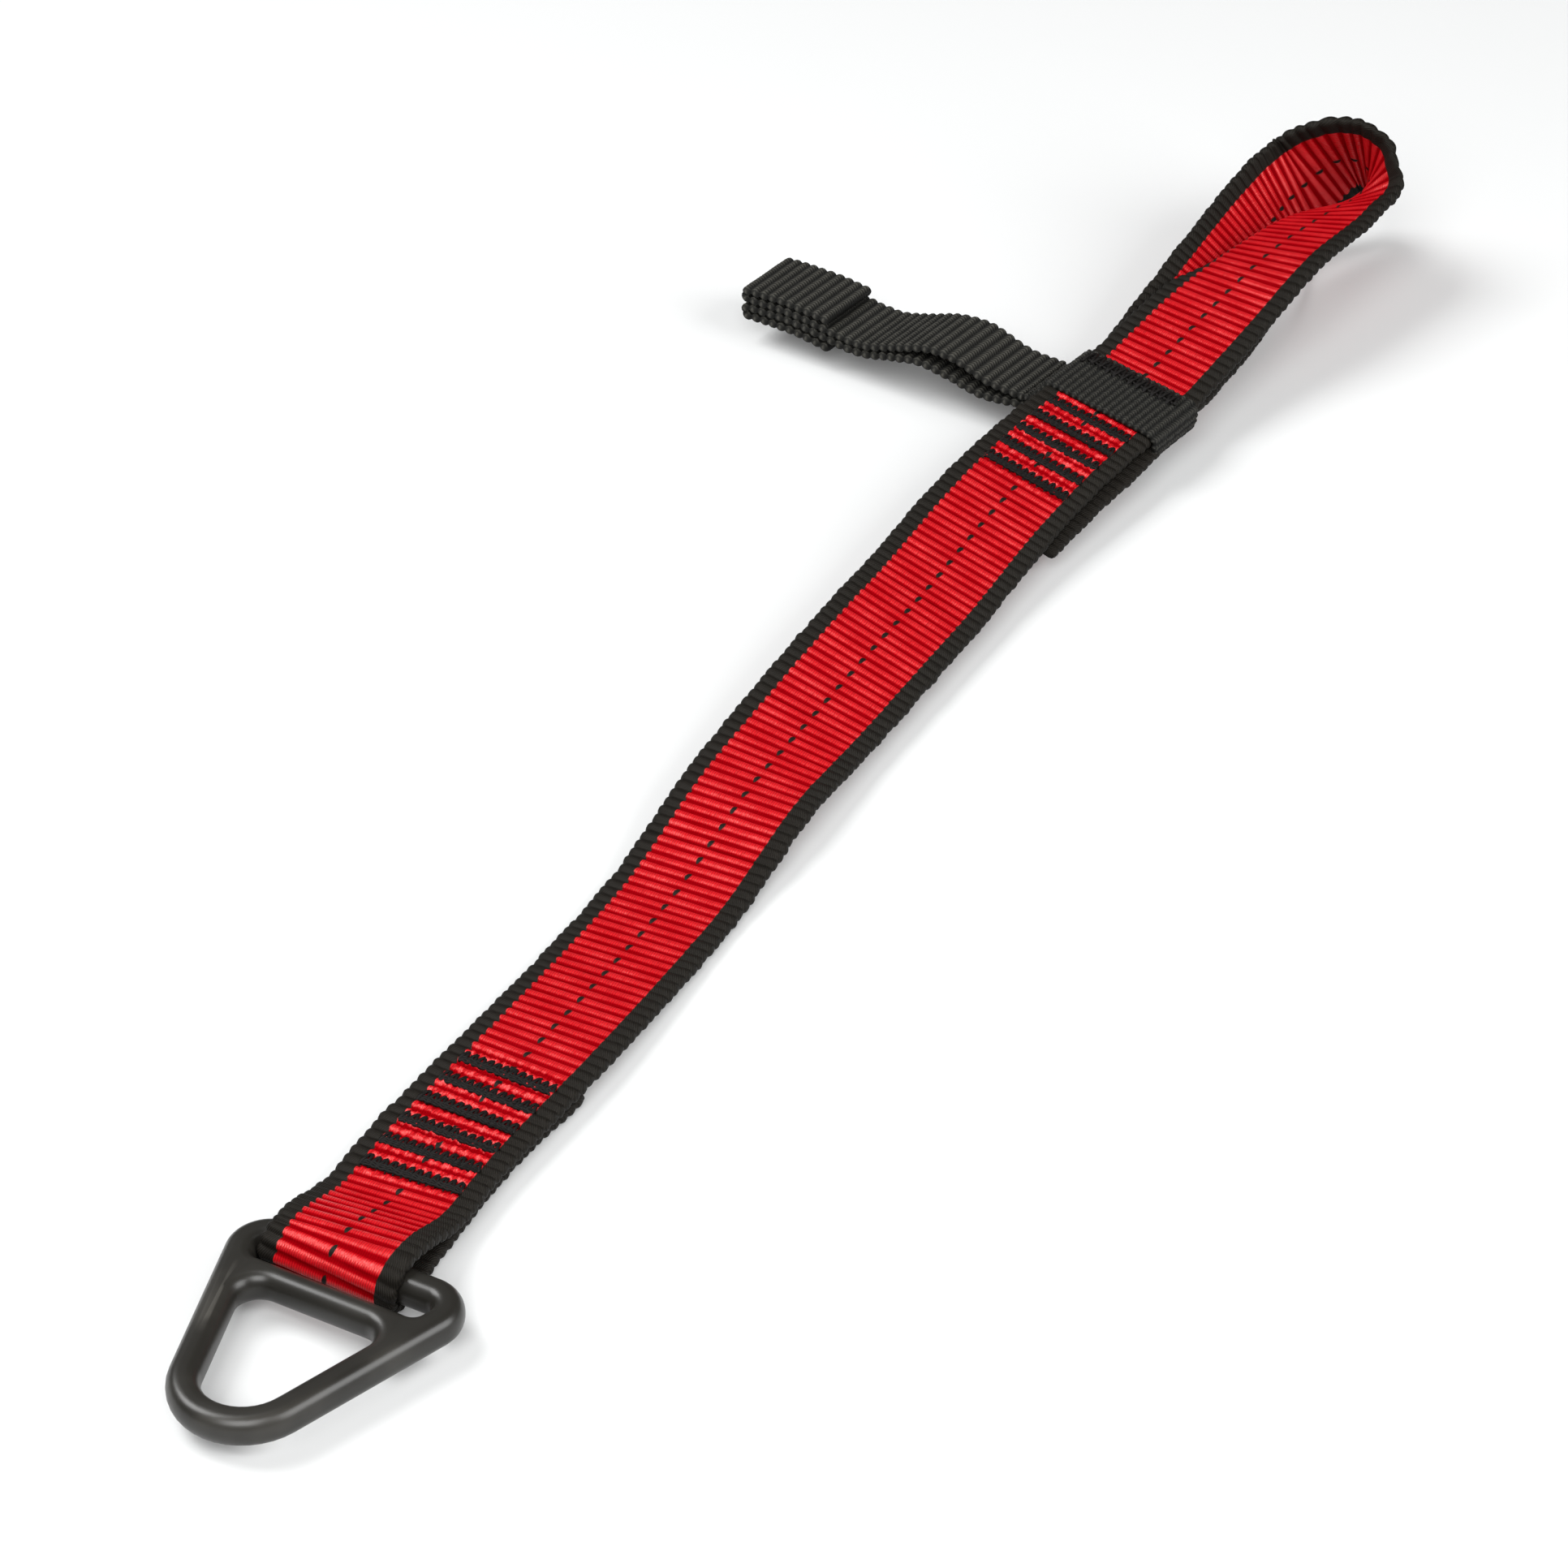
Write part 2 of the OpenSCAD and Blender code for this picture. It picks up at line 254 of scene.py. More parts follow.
class Course:
    """The whole strap as one band: where its middle runs, its rib and its outer face. It
    goes from the end folded under the ring, round the bar, along the top, round the eye
    and back to the end folded under the eye."""

    UNDER_RING, BIGHT, TOP, EYE, UNDER_EYE = range(5)

    def __init__(self):
        legs = [self.under_ring(), self.bight(), self.top(), self.eye(), self.under_eye()]
        points = np.concatenate([leg[0][:-1] for leg in legs])
        ribs = np.concatenate([leg[1][:-1] for leg in legs])
        label = np.concatenate([np.full(len(leg[0]) - 1, k) for k, leg in enumerate(legs)])
        s = distance_along(points)
        count = int(s[-1] / RIB) * SAMPLES_PER_RIB
        self.s = np.arange(count + 1) * STEP
        centre = np.stack([np.interp(self.s, s, points[:, k]) for k in range(3)], 1)
        rib = np.stack([np.interp(self.s, s, ribs[:, k]) for k in range(3)], 1)
        soften = 0.6 / STEP      # rounds off the joins between the legs
        self.centre = blurred(centre, soften)
        rib = blurred(rib, 2 * soften)
        self.leg = label[np.clip(np.searchsorted(s, self.s), 0, len(label) - 1)]
        self.along = unit(np.gradient(self.centre, axis=0))
        self.rib = unit(rib - (rib * self.along).sum(1, keepdims=True) * self.along)
        self.face = np.cross(self.rib, self.along)

    def under_ring(self):
        y = np.linspace(RING_FOLD, 0, 150)
        top = flow(SWAY, y)
        shift = -0.9 + 0.6 * smoothstep(40, RING_FOLD, y)      # it lies a little to the left
        points = np.stack([top + shift, y, np.full_like(y, RING_FOLD_Z)], 1)
        return points, np.tile([1.0, 0, 0], (len(y), 1))

    def bight(self):
        radius = (HEIGHTS[0][1] - RING_FOLD_Z) / 2
        middle = RING_FOLD_Z + radius
        turn = np.radians(np.linspace(-90, 90, 60))
        drift = SWAY[0][1] - 0.45 * (1 - np.sin(turn))
        points = np.stack([drift, -radius * np.cos(turn), middle + radius * np.sin(turn)], 1)
        return points, np.tile([1.0, 0, 0], (len(turn), 1))

    def top(self):
        y = np.linspace(0, EYE_Y, 900)
        points = np.stack([flow(SWAY, y), y, eased(HEIGHTS, y)], 1)
        self.top_points = points
        self.top_ribs = leaning_ribs(points, -flow(ROLL, y))
        return points, self.top_ribs

    def eye(self):
        rows = np.array(EYE_COURSE, float)
        rows[:, 1] += EYE_Y
        rows[:, 2] += HEIGHTS[-1][1]
        where = distance_along(rows[:, :3])
        t = np.linspace(0, where[-1], 700)
        course = flowing(where, rows, t)
        return course[:, :3], leaning_ribs(course[:, :3], course[:, 3])

    def under_eye(self):
        keep = self.top_points[:, 1] >= EYE_Y - EYE_FOLD
        points, ribs = self.top_points[keep], self.top_ribs[keep]
        along = unit(np.gradient(points, axis=0))
        face = np.cross(ribs, along)
        shift = np.interp(points[:, 1], *np.array(EYE_FOLD_SHIFT).T)
        under = points - face * LAYER_STEP + ribs * shift[:, None]
        return under[::-1], -ribs[::-1]

    def index(self, leg, y):
        """Sample of that leg nearest to distance y from the bar."""
        on_leg = np.flatnonzero(self.leg == leg)
        return on_leg[np.argmin(np.abs(self.centre[on_leg, 1] - y))]

    def valley(self, leg, y):
        """Nearest valley between two ribs, where two lengths meet unseen."""
        return int(round(self.index(leg, y) / SAMPLES_PER_RIB)) * SAMPLES_PER_RIB

    def spot(self, leg, y, across, lift):
        """Point on the band at a distance along and across it, lifted off its middle."""
        i = self.index(leg, y)
        offset = y - self.centre[i, 1]
        slide = self.along[i] * offset / self.along[i, 1]
        return self.centre[i] + slide + self.rib[i] * across + self.face[i] * lift


course = Course()
RING_TACKS = [f"ring_tack_{i}" for i in range(1, 7)]
EYE_TACKS = [f"eye_tack_{i}" for i in range(1, 6)]
tack_y = {n: sum(node_mm(n)[k][1] for k in range(2)) / 2 for n in RING_TACKS + EYE_TACKS}


# ---- Mesh building -----------------------------------------------------------------

def add_piece(name, points, faces, uv, material):
    """A mesh piece in the row frame, with its own material."""
    mesh = bpy.data.meshes.new(name)
    mesh.from_pydata(place(points).tolist(), [], [tuple(f) for f in faces])
    mesh.polygons.foreach_set("use_smooth", [True] * len(mesh.polygons))
    layer = mesh.uv_layers.new(name="UVMap")
    corner = np.zeros(len(mesh.loops), int)
    mesh.loops.foreach_get("vertex_index", corner)
    layer.data.foreach_set("uv", np.asarray(uv, float)[corner].ravel())
    mesh.materials.append(material)
    mesh.update()
    obj = bpy.data.objects.new(name, mesh)
    bpy.context.scene.collection.objects.link(obj)
    return obj


def closed_band(rows):
    """Faces of a closed tube through rows of points, both ends capped."""
    n, m = rows.shape[:2]
    index = np.arange(n * m).reshape(n, m)
    a, b = index[:-1], index[1:]
    quads = np.stack([a, np.roll(a, -1, 1), np.roll(b, -1, 1), b], -1).reshape(-1, 4)
    return quads.tolist() + [index[0][::-1].tolist(), index[-1].tolist()]


def band_section(half_width, edge_round, spans, edge_steps=6):
    """Outline of a flat band as (across, share of half the thickness): over the top from
    left to right, round the right edge, back beneath and round the left edge."""
    flat = half_width - edge_round
    across = np.linspace(-flat, flat, spans + 1)
    turn = np.radians(np.linspace(90, -90, edge_steps + 2)[1:-1])
    edge = flat + edge_round * np.cos(turn)
    u = np.concatenate([across, edge, across[::-1], -edge])
    share = np.concatenate([np.ones_like(across), np.sin(turn), -np.ones_like(across),
                            -np.sin(turn)])
    return u, share


def band_points(centre, rib, face, across, lift):
    """Points of a band, given how far each lies across it and above its middle."""
    return centre[:, None] + rib[:, None] * across[..., None] + face[:, None] * lift[..., None]


# ---- Main webbing ------------------------------------------------------------------

RIB_COUNT = len(course.s) // SAMPLES_PER_RIB + 2
EDGE_JITTER = random_draws.normal(0, 0.09, (2, RIB_COUNT))
RIB_JITTER = random_draws.normal(1, 0.07, RIB_COUNT)


def per_rib(values, s):
    """Values given for each rib, read smoothly along the strap."""
    return np.interp(s / RIB - 0.5, np.arange(len(values)), values)


def rib_swell(u, s):
    """Rise of the ribs, 1 on a crest and 0 in a valley, with their slight wander."""
    wander = 0.09 * np.sin(0.31 * u + 0.55 * s) + 0.05 * np.sin(0.9 * u - 0.23 * s)
    return np.abs(np.sin(np.pi * (s + wander) / RIB)) ** 0.95


def pucker(u, y):
    """How far the bar tacks pull the upper face down at a place on the strap."""
    inside = 1 - smoothstep(8.4, 9.4, np.abs(u))
    stitch = 2 * np.pi * u / (2 * TACK_HALF_LENGTH / TACK_STITCHES)
    dent = np.zeros_like(u * y)
    for row, tack in enumerate(tack_y.values()):
        off = y - tack
        teeth = 0.5 + 0.5 * np.cos(stitch + row)
        dent += 0.34 * np.exp(-(off / 0.9) ** 2)     # trough along the row
        dent += 0.2 * teeth * np.exp(-((np.abs(off) - 1.8) / 0.8) ** 2)     # needle holes
        crooked = 2.1 * np.sin(1.3 * u + row)
        lumps = np.sin(stitch) * np.sin(2 * np.pi * off / 1.9 + crooked)
        dent += 0.3 * lumps * np.exp(-(off / 3.2) ** 4)      # uneven cloth round the row
    return dent * inside


def curl(u, i0, i1):
    """How far the left selvedge turns down where the eye's near leg twists away."""
    out = (course.s[i0:i1 + 1] - course.s[course.index(Course.EYE, EYE_Y)])[:, None]
    begin, full, fading, end = CURL_SPAN
    strength = smoothstep(begin, full, out) * smoothstep(end, fading, out)
    return 0.4 * strength * np.clip(-u - 8, 0, None) ** 1.4


def webbing_rows(i0, i1, sewn):
    """Points and surface coordinates of the strap between two samples."""
    part = slice(i0, i1 + 1)
    s = course.s[part][:, None]
    nominal, share = band_section(WEB_HALF, EDGE_ROUND, 72 if sewn else 40)
    u = nominal[None, :] + 0 * s
    swell = rib_swell(u, s)
    selvedge = smoothstep(WEB_HALF - SELVEDGE - 0.3, WEB_HALF - SELVEDGE + 0.5, np.abs(u))
    jitter = np.where(u > 0, per_rib(EDGE_JITTER[0], s), per_rib(EDGE_JITTER[1], s))
    scallop = smoothstep(9.5, 12.5, np.abs(u)) * (0.28 * (swell - 0.7) + jitter)
    across = u + np.sign(u) * scallop
    depth = RIB_DEPTH * per_rib(RIB_JITTER, s) * (1 + 0.35 * selvedge)
    half = WEB_THICK / 2 + 0.12 * selvedge - depth * (1 - swell)
    lift = share[None, :] * half
    curled = curl(u, i0, i1)
    lift = lift - curled
    across = across + 0.35 * curled
    if sewn:
        y = course.centre[part, 1][:, None]
        lift -= np.where(share[None, :] > 0, pucker(u, y), 0)
    rows = band_points(course.centre[part], course.rib[part], course.face[part], across, lift)
    uv = np.stack([u, s + 0 * u], -1)
    return rows, uv.reshape(-1, 2)


def webbing_piece(name, start, end, sewn=False):
    """A length of the strap between two samples. Only a sewn length is puckered."""
    rows, uv = webbing_rows(start, end, sewn)
    return add_piece(name, rows.reshape(-1, 3), closed_band(rows), uv, webbing_material)


# ---- Materials ---------------------------------------------------------------------

class Shader:
    """A node material built by short calls; every result is a socket."""

    def __init__(self, name):
        self.material = bpy.data.materials.new(name)
        self.material.use_nodes = True
        self.tree = self.material.node_tree
        self.surface = next(n for n in self.tree.nodes if n.type == "BSDF_PRINCIPLED")

    def node(self, kind, **inputs):
        made = self.tree.nodes.new(kind)
        for key, value in inputs.items():
            self.feed(made.inputs[key.replace("_", " ")], value)
        return made

    def feed(self, socket, value):
        if isinstance(value, bpy.types.NodeSocket):
            self.tree.links.new(value, socket)
        else:
            socket.default_value = value

    def math(self, operation, a, b=0.0, c=0.0):
        made = self.tree.nodes.new("ShaderNodeMath")
        made.operation = operation
        for socket, value in zip(made.inputs, (a, b, c)):
            self.feed(socket, value)
        return made.outputs[0]

    def add(self, a, b):
        return self.math("ADD", a, b)

    def times(self, a, b):
        return self.math("MULTIPLY", a, b)

    def ramp(self, value, low, high):
        """0 below low, 1 above high, smooth between."""
        made = self.node("ShaderNodeMapRange", Value=value)
        made.interpolation_type = "SMOOTHSTEP"
        made.inputs["From Min"].default_value = low
        made.inputs["From Max"].default_value = high
        return made.outputs[0]

    def mix(self, factor, a, b):
        made = self.tree.nodes.new("ShaderNodeMix")
        made.data_type = "RGBA"
        self.feed(made.inputs["Factor"], factor)
        self.feed(made.inputs[6], a)
        self.feed(made.inputs[7], b)
        return made.outputs[2]

    def noise(self, vector, scale, detail=2.0):
        made = self.node("ShaderNodeTexNoise", Vector=vector, Scale=scale, Detail=detail)
        return made.outputs[0]

    def across_along(self):
        """Surface coordinates in millimetres: across the band, and along it."""
        uv = self.tree.nodes.new("ShaderNodeUVMap")
        uv.uv_map = "UVMap"
        self.uv = uv.outputs[0]
        parts = self.node("ShaderNodeSeparateXYZ", Vector=uv.outputs[0])
        return parts.outputs[0], parts.outputs[1]

    def wave(self, value, pitch, shift=0.0):
        """Between 0 and 1, once for each pitch of value."""
        turns = self.add(self.times(value, 2 * math.pi / pitch), shift)
        return self.add(self.times(self.math("SINE", turns), 0.5), 0.5)

    def finish(self, colour, roughness, height_mm, **others):
        bump = self.node("ShaderNodeBump", Height=self.times(height_mm, MM))
        bump.inputs["Distance"].default_value = 1.0
        self.feed(self.surface.inputs["Normal"], bump.outputs[0])
        self.feed(self.surface.inputs["Base Color"], colour)
        self.feed(self.surface.inputs["Roughness"], roughness)
        for key, value in others.items():
            self.feed(self.surface.inputs[key.replace("_", " ")], value)
        return self.material


def selvedge_mask(n, from_middle, crest, yarn_noise):
    """1 on the black selvedges, whose inner edge steps in and out with the ribs."""
    border = n.add(WEB_HALF - SELVEDGE - 0.22, n.times(crest, 0.34))
    border = n.add(border, n.times(n.add(yarn_noise, -0.5), 0.5))
    return n.ramp(n.math("SUBTRACT", from_middle, border), -0.08, 0.08)


def dash_mask(n, across, phase, yarn_noise):
    """1 on the black dash in the middle of every other rib, narrower at its two ends."""
    from_crest = n.add(n.math("FRACT", phase), -0.5)
    off_dash = n.math("ABSOLUTE", n.math("SUBTRACT", across, n.times(from_crest, 0.3)))
    narrowing = n.math("POWER", n.math("ABSOLUTE", from_crest), 3.0)
    width = n.add(0.42, n.times(n.add(yarn_noise, -0.5), 0.25))
    width = n.add(width, n.times(narrowing, -4.5))
    outside = n.ramp(n.math("SUBTRACT", off_dash, width), -0.06, 0.06)
    dashed_rib = n.math("LESS_THAN", n.math("MODULO", phase, 2.0), 1.0)
    return n.times(n.math("SUBTRACT", 1.0, outside), dashed_rib)


def make_webbing_material():
    """Red ribbed webbing: black selvedges, a black dash in the middle of every other rib."""
    n = Shader("striped_webbing_weave")
    across, along = n.across_along()
    stretched = n.node("ShaderNodeMapping", Vector=n.uv)
    stretched.inputs["Scale"].default_value = (6.0, 0.8, 1.0)
    yarn_noise = n.noise(stretched.outputs[0], 1.0, 3.0)
    patches = n.noise(n.uv, 0.12, 2.0)
    phase = n.times(along, 1 / RIB)
    crest = n.math("ABSOLUTE", n.math("SINE", n.times(phase, math.pi)))
    from_middle = n.math("ABSOLUTE", across)
    black_edge = selvedge_mask(n, from_middle, crest, yarn_noise)
    dash = dash_mask(n, across, phase, yarn_noise)
    black = n.math("MAXIMUM", black_edge, dash)
    not_black = n.math("SUBTRACT", 1.0, black)
    yarns = n.wave(n.add(across, n.times(yarn_noise, 0.35)), 0.42)
    between_yarns = n.math("SUBTRACT", 1.0, yarns)
    twill = n.wave(n.add(n.times(from_middle, 1.6), along), 0.62)

    shaded_valley_red = (0.15, 0.0, 0.001, 1)
    crest_red = (0.52, 0.004, 0.009, 1)
    patch_red = (0.33, 0.003, 0.009, 1)
    shaded_yarn_gap_red = (0.13, 0.0, 0.001, 1)
    deep_black = (0.002, 0.0017, 0.0013, 1)
    pale_black = (0.012, 0.010, 0.0078, 1)
    # Painted shade: the valleys between the ribs are painted a darker red than the crests.
    red = n.mix(n.ramp(crest, 0.25, 0.95), shaded_valley_red, crest_red)
    red = n.mix(n.times(patches, 0.25), red, patch_red)
    # Painted shade: the gaps between the yarns are painted a darker red.
    red = n.mix(n.times(between_yarns, 0.6), red, shaded_yarn_gap_red)
    # Painted light and shade on the selvedges: their diagonal yarns are painted paler and the gaps
    # between them darker, and the yarn noise varies the tone at random.
    dark = n.mix(n.times(yarn_noise, n.add(0.3, n.times(twill, 0.9))), deep_black, pale_black)
    colour = n.mix(black, red, dark)

    thread = n.add(n.times(yarns, not_black), n.times(twill, black_edge))
    height = n.add(n.times(thread, 0.06), n.times(yarn_noise, 0.06))
    height = n.add(height, n.times(dash, -0.08))
    roughness = n.add(n.times(black, 0.25), n.add(0.24, n.times(yarn_noise, 0.16)))
    tint = n.mix(black, (1.0, 0.27, 0.25, 1), (0.8, 0.76, 0.70, 1))
    red_shine = n.times(n.ramp(crest, 0.5, 1.0), not_black)
    shine = n.add(red_shine, n.times(black, 0.08))
    return n.finish(colour, roughness, height, Specular_Tint=tint, Specular_IOR_Level=shine,
                    IOR=1.7)


def make_thread_material():
    """Thick black bonded thread, two plies twisted together."""
    n = Shader("stitching_thread_ply")
    turn, along = n.across_along()
    twist = n.math("SUBTRACT", n.times(turn, 2.0), n.times(along, 0.9))
    ply = n.wave(twist, 1.0)
    fluff = n.noise(n.uv, 5.0, 3.0)
    # Painted shade: the grooves between the two plies are painted darker; the fluff noise varies
    # the tone at random.
    colour = n.mix(n.times(ply, fluff), (0.0025, 0.002, 0.0018, 1), (0.009, 0.0072, 0.0065, 1))
    height = n.add(n.times(ply, 0.05), n.times(fluff, 0.03))
    return n.finish(colour, 0.6, height, Specular_IOR_Level=0.13)


def make_tape_material(name, rib, lightness=1.0):
    """Black tape whose ribs are twisted cords lying across it."""
    n = Shader(name)
    across, along = n.across_along()
    phase = n.times(along, 1 / rib)
    in_rib = n.math("FRACT", phase)
    crest = n.math("SINE", n.times(in_rib, math.pi))
    fibre = n.noise(n.uv, 3.2, 4.0)
    lay = n.math("ABSOLUTE", n.add(in_rib, -0.5))
    strands = n.wave(n.add(across, n.add(n.times(lay, 0.9), n.times(fibre, 0.2))), 0.72)
    # Painted light and shade: the crests of the ribs and the cords' strands are painted paler and
    # the valleys between them darker; the fibre noise varies the tone at random.
    lit = n.times(n.times(crest, crest), n.add(0.15, n.times(strands, 0.85)))
    pale = (0.046 * lightness, 0.044 * lightness, 0.037 * lightness, 1)
    colour = n.mix(n.times(lit, n.add(0.5, fibre)), (0.0015, 0.0015, 0.001, 1), pale)
    height = n.add(n.times(strands, 0.13), n.times(fibre, 0.10))
    height = n.add(height, n.times(crest, 0.05))
    return n.finish(colour, n.add(0.6, n.times(fibre, 0.25)), height, Specular_IOR_Level=0.18)


def make_ring_material():
    """Dark grey-brown satin coat, a little paler where the edges rub."""
    n = Shader("ring_metal_coat")
    place_in = n.node("ShaderNodeTexCoord").outputs["Object"]
    cloud = n.noise(place_in, 60.0, 3.0)
    grain = n.noise(place_in, 2600.0, 2.0)
    worn = n.ramp(n.node("ShaderNodeNewGeometry").outputs["Pointiness"], 0.50, 0.56)
    worn = n.times(worn, n.ramp(cloud, 0.45, 0.65))
    colour = n.mix(cloud, (0.008, 0.0074, 0.006, 1), (0.014, 0.0128, 0.0105, 1))
    colour = n.mix(n.times(worn, 0.5), colour, (0.09, 0.085, 0.075, 1))
    roughness = n.add(0.29, n.times(cloud, 0.10))
    return n.finish(colour, roughness, n.times(grain, 0.004), Specular_IOR_Level=0.4)


webbing_material = make_webbing_material()
thread_material = make_thread_material()
tape_material = make_tape_material("keeper_tape_cords", LOOSE["rib"])
wrap_material = make_tape_material("keeper_tape_stretched", TIGHT["rib"], lightness=0.65)
ring_material = make_ring_material()


# ---- Webbing lengths ---------------------------------------------------------------

def between(joint_a, joint_b):
    """Distance along the strap to halfway between two joints."""
    return (joint_mm(joint_a)[1] + joint_mm(joint_b)[1]) / 2


def bend_over(piece, joint, reach):
    """Bakes a length of webbing's placement into its mesh; the span it works out either side of the
    joint is not used.
    """
    y = joint_mm(joint)[1]
    start, end = place([0, y - reach, 0]), place([0, y + reach, 0])
    tuple(start)
    tuple(end)
    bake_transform(piece)


TOP = Course.TOP
sewn_end_y = node_mm("eye_end_under")[0][1] + 6     # just inside the folded-back layer
cut_y = [between("strap_bend_1", "strap_bend_2"), between("strap_bend_2", "strap_twist"),
         between("strap_twist", "strap_bend_3"), between("strap_bend_3", "strap_bend_4"),
         sewn_end_y]
cuts = [0] + [course.valley(TOP, y) for y in cut_y]
keeper_y = sum(node_mm("keeper_wrap")[k][1] for k in range(2)) / 2
eye_cuts = [course.valley(TOP, keeper_y), course.valley(Course.UNDER_EYE, keeper_y)]

# Piece, the node it stands for, the joint that lies within it and a reach either side of that joint
lengths = [
    ("webbing_ring_end", "ring_end_webbing", "strap_bend_1", 6),
    ("webbing_length_1", "strap_length_1", "strap_bend_2", 14),
    ("webbing_length_2", "strap_length_2", "strap_twist", 18),
    ("webbing_length_3", "strap_length_3", "strap_bend_3", 14),
    ("webbing_length_4", "strap_length_4", "strap_bend_4", 13),
]
for (name, node, joint, reach), start, end in zip(lengths, cuts, cuts[1:]):
    piece = webbing_piece(name, start, end, sewn=(start == 0))
    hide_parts(node)
    bend_over(piece, joint, reach)

upper = webbing_piece("webbing_eye_upper", cuts[-1], eye_cuts[0], sewn=True)
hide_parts("eye_end_upper")
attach(upper, "eye_end")
under = webbing_piece("webbing_eye_under", eye_cuts[1], len(course.s) - 1)
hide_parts("eye_end_under")
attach(under, "eye_end")
loop = webbing_piece("webbing_eye_loop", eye_cuts[0], eye_cuts[1])
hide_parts("eye_loop")
tuple(place([0, EYE_Y + EYE_BEND[0], 0]))
tuple(place([0, EYE_Y + EYE_BEND[1], 0]))
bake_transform(loop)


# ---- Stitching ---------------------------------------------------------------------

def thread_tube(path, radius, sides=9, twist=0.9):
    """Two-ply thread along a path: rows of points and their surface coordinates."""
    along = unit(np.gradient(path, axis=0))
    side = np.cross(along[0], [0.0, 0.0, 1.0])
    if np.linalg.norm(side) < 0.1:
        side = np.cross(along[0], [1.0, 0.0, 0.0])
    sides_of = []
    for a in along:
        side = side - (side @ a) * a
        side = side / np.linalg.norm(side)
        sides_of.append(side)
    sides_of = np.array(sides_of)
    other = np.cross(along, sides_of)
    s = distance_along(path)
    turn = np.arange(sides) / sides
    angle = 2 * np.pi * turn
    ply = 1 + 0.11 * np.cos(2 * (angle[None, :] - np.pi * twist * s[:, None]))
    r = radius * ply
    rows = (path[:, None] + sides_of[:, None] * (r * np.cos(angle))[..., None]
            + other[:, None] * (r * np.sin(angle))[..., None])
    uv = np.stack([np.broadcast_to(turn, r.shape), np.broadcast_to(s[:, None], r.shape)], -1)
    return rows, uv.reshape(-1, 2)


def add_threads(name, paths):
    """One piece made of several lengths of thread."""
    points, faces, uvs, base = [], [], [], 0
    for path in paths:
        rows, uv = thread_tube(np.array(path), THREAD)
        flat = rows.reshape(-1, 3)
        faces += [[base + v for v in face] for face in closed_band(rows)]
        points.append(flat)
        uvs.append(uv)
        base += len(flat)
    return add_piece(name, np.concatenate(points), faces, np.concatenate(uvs), thread_material)


def zigzag(spot, half_l, half_w, stitches, lift, rise=0.3, sink=0.4, steps=7):
    """Path of a zigzag: each stitch arches over the surface and dives in at its ends, a
    little out of place. spot(x, y, lift) gives the point at x across and y along from the
    row's middle."""
    path = []
    pitch = 2 * half_l / stitches
    for k in range(2 * stitches):
        going_up = k % 2 == 0
        x0 = -half_l + pitch * (k // 2 + (0.0 if going_up else 0.5))
        x1 = -half_l + pitch * (k // 2 + (0.5 if going_up else 1.0))
        y0, y1 = (-half_w, half_w) if going_up else (half_w, -half_w)
        extra = 0.10 if going_up else 0.0
        shake = random_draws.normal(0, 0.07, 4)
        for i in range(steps):
            f = i / steps
            arch = math.sin(math.pi * f) ** 0.5
            x = x0 + (x1 - x0) * f + shake[0] + (shake[1] - shake[0]) * f
            y = y0 + (y1 - y0) * f + shake[2] * (1 - f) + shake[3] * f
            path.append(spot(x, y, lift - sink + (sink + rise + extra) * arch))
    return path


def laid_thread(spot, half_l, y, lift, steps=60):
    """A thread lying along a row beneath the zigzag, a little wavy."""
    path = []
    shift = random_draws.uniform(0, 6)
    for i in range(steps + 1):
        x = -half_l + 2 * half_l * i / steps
        wave = 0.10 * math.sin(2 * math.pi * i / 5 + shift)
        dive = 0.7 if i in (0, steps) else 0.0
        path.append(spot(x, y + wave, lift + 0.12 - dive))
    return path


def bar_tack(name, under_leg, under_side):
    """A bar tack: threads laid across the strap, bound by a zigzag, above and beneath.
    under_side is 1 where the lower layer's face points down, and -1 where the eye's half
    twist has turned it up."""
    y = tack_y[name]
    size = (TACK_HALF_LENGTH, TACK_HALF_WIDTH, TACK_STITCHES)
    surface = WEB_THICK / 2 - TACK_SUNK

    def above(x, off, lift):
        return course.spot(TOP, y + off, x, lift)

    def beneath(x, off, lift):
        across = x if under_side > 0 else -x
        return course.spot(under_leg, y + off, across, under_side * lift)

    paths = [zigzag(above, *size, surface)]
    for off in TACK_LAID:
        paths.append(laid_thread(above, TACK_HALF_LENGTH - 0.2, off, surface + 0.15))
    paths.append(zigzag(beneath, *size, surface + 0.22))
    piece = add_threads(name + "_thread", paths)
    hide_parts(name)
    return piece


for name in RING_TACKS:
    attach(bar_tack(name, Course.UNDER_RING, 1), "ring_end")
for name in EYE_TACKS:
    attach(bar_tack(name, Course.UNDER_EYE, -1), "eye_end")


# ---- Keeper tape -------------------------------------------------------------------

keeper_i = course.index(TOP, keeper_y)
keeper_mid = course.centre[keeper_i] - course.face[keeper_i] * LAYER_STEP / 2
keeper_along = unit(course.along[keeper_i] * np.array([1, 1, 0]))
keeper_left = np.array([-keeper_along[1], keeper_along[0], 0.0])
keeper_roll = math.radians(float(flow(ROLL, np.array([keeper_y]))[0]))


def keeper_point(left, z, wide):
    """Point of the keeper: left of the strap's middle, above the table, along the strap."""
    out = np.array([keeper_mid[0], keeper_mid[1], 0.0]) + keeper_left * left
    return out + keeper_along * wide + np.array([0, 0, z])


def on_strap(right, up):
    """Left and height of a point given in the strap's own leaning section."""
    c, s = math.cos(keeper_roll), math.sin(keeper_roll)
    return -(right * c + up * s), keeper_mid[2] - right * s + up * c


ROOT = WEB_HALF + 4.5    # the keeper's two tapes meet here, left of the strap's middle
LAYERS_HALF = (LAYER_STEP + WEB_THICK) / 2 - 0.15    # half the height inside the wrap
TAPE_NEAR = LOOSE["thick"] / 2 + TAPE_GAP / 2        # from the tail's middle to a tape's
HEM_GAP = 0.25
